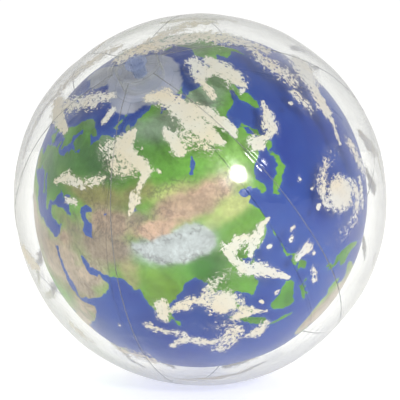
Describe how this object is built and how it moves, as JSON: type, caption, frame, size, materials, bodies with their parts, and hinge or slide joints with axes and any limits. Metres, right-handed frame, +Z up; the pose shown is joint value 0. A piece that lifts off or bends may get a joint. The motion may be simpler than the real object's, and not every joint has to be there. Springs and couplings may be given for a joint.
{
  "type": "inflatable globe ball",
  "caption": "Inflatable ball-in-ball globe: clear outer ball printed with clouds round a printed world globe, with push-in air valves.",
  "frame": {"origin": "centre of the flattened patch that the ball rests on, at the bottom of the outer ball", "axes": "+Z up, away from the surface that the ball rests on; the polar axis leans 46 degrees from +Z towards a heading of 245 degrees from +X"},
  "size_m": [0.3999, 0.3999, 0.399],
  "materials": {
    "clear_film": "clear glossy vinyl film printed with opaque cream clouds",
    "printed_film": "glossy vinyl film printed with a world map",
    "valve_vinyl": "translucent moulded vinyl",
    "flap_film": "thin clear film"
  },
  "bodies": {
    "ball": {"outer_gore_1": "clear_film", "outer_gore_2": "clear_film", "outer_gore_3": "clear_film", "outer_gore_4": "clear_film", "outer_gore_5": "clear_film", "outer_gore_6": "clear_film", "outer_near_disc": "clear_film", "outer_far_disc": "clear_film", "inner_gore_1": "printed_film", "inner_gore_2": "printed_film", "inner_gore_3": "printed_film", "inner_gore_4": "printed_film", "inner_gore_5": "printed_film", "inner_gore_6": "printed_film", "inner_near_disc": "printed_film", "inner_far_disc": "printed_film", "near_neck": "clear_film", "far_neck": "clear_film", "outer_valve_flange": "valve_vinyl", "inner_valve_flange": "valve_vinyl"},
    "outer_stem": {"outer_valve_stem": "valve_vinyl"},
    "outer_plug": {"outer_plug": "valve_vinyl", "outer_plug_strap": "valve_vinyl"},
    "outer_flap": {"outer_check_flap": "flap_film"},
    "inner_stem": {"inner_valve_stem": "valve_vinyl"},
    "inner_plug": {"inner_plug": "valve_vinyl", "inner_plug_strap": "valve_vinyl"},
    "inner_flap": {"inner_check_flap": "flap_film"}
  },
  "joints": [
    {"name": "outer_valve_push", "type": "slide", "parent": "ball", "child": "outer_stem", "axis": [-0.304, -0.6519, 0.6947], "range_m": [0, 0.01]},
    {"name": "outer_plug_swing", "type": "hinge", "parent": "outer_stem", "child": "outer_plug", "pos_m": [-0.05458, -0.13503, 0.33946], "axis": [0.2936, 0.6296, 0.7193], "range_deg": [0, 140]},
    {"name": "outer_flap_swing", "type": "hinge", "parent": "outer_stem", "child": "outer_flap", "pos_m": [-0.06119, -0.12021, 0.32918], "axis": [0.2936, 0.6296, 0.7193], "range_deg": [0, 40], "stiffness_Nm_per_rad": 0.0002},
    {"name": "inner_valve_push", "type": "slide", "parent": "ball", "child": "inner_stem", "axis": [0.304, 0.6519, -0.6947], "range_m": [0, 0.01]},
    {"name": "inner_plug_swing", "type": "hinge", "parent": "inner_stem", "child": "inner_plug", "pos_m": [0.05924, 0.12704, 0.05307], "axis": [-0.9063, 0.4226, 0], "range_deg": [0, 140]},
    {"name": "inner_flap_swing", "type": "hinge", "parent": "inner_stem", "child": "inner_flap", "pos_m": [0.05834, 0.1251, 0.07217], "axis": [-0.9063, 0.4226, 0], "range_deg": [0, 40], "stiffness_Nm_per_rad": 0.0002}
  ]
}
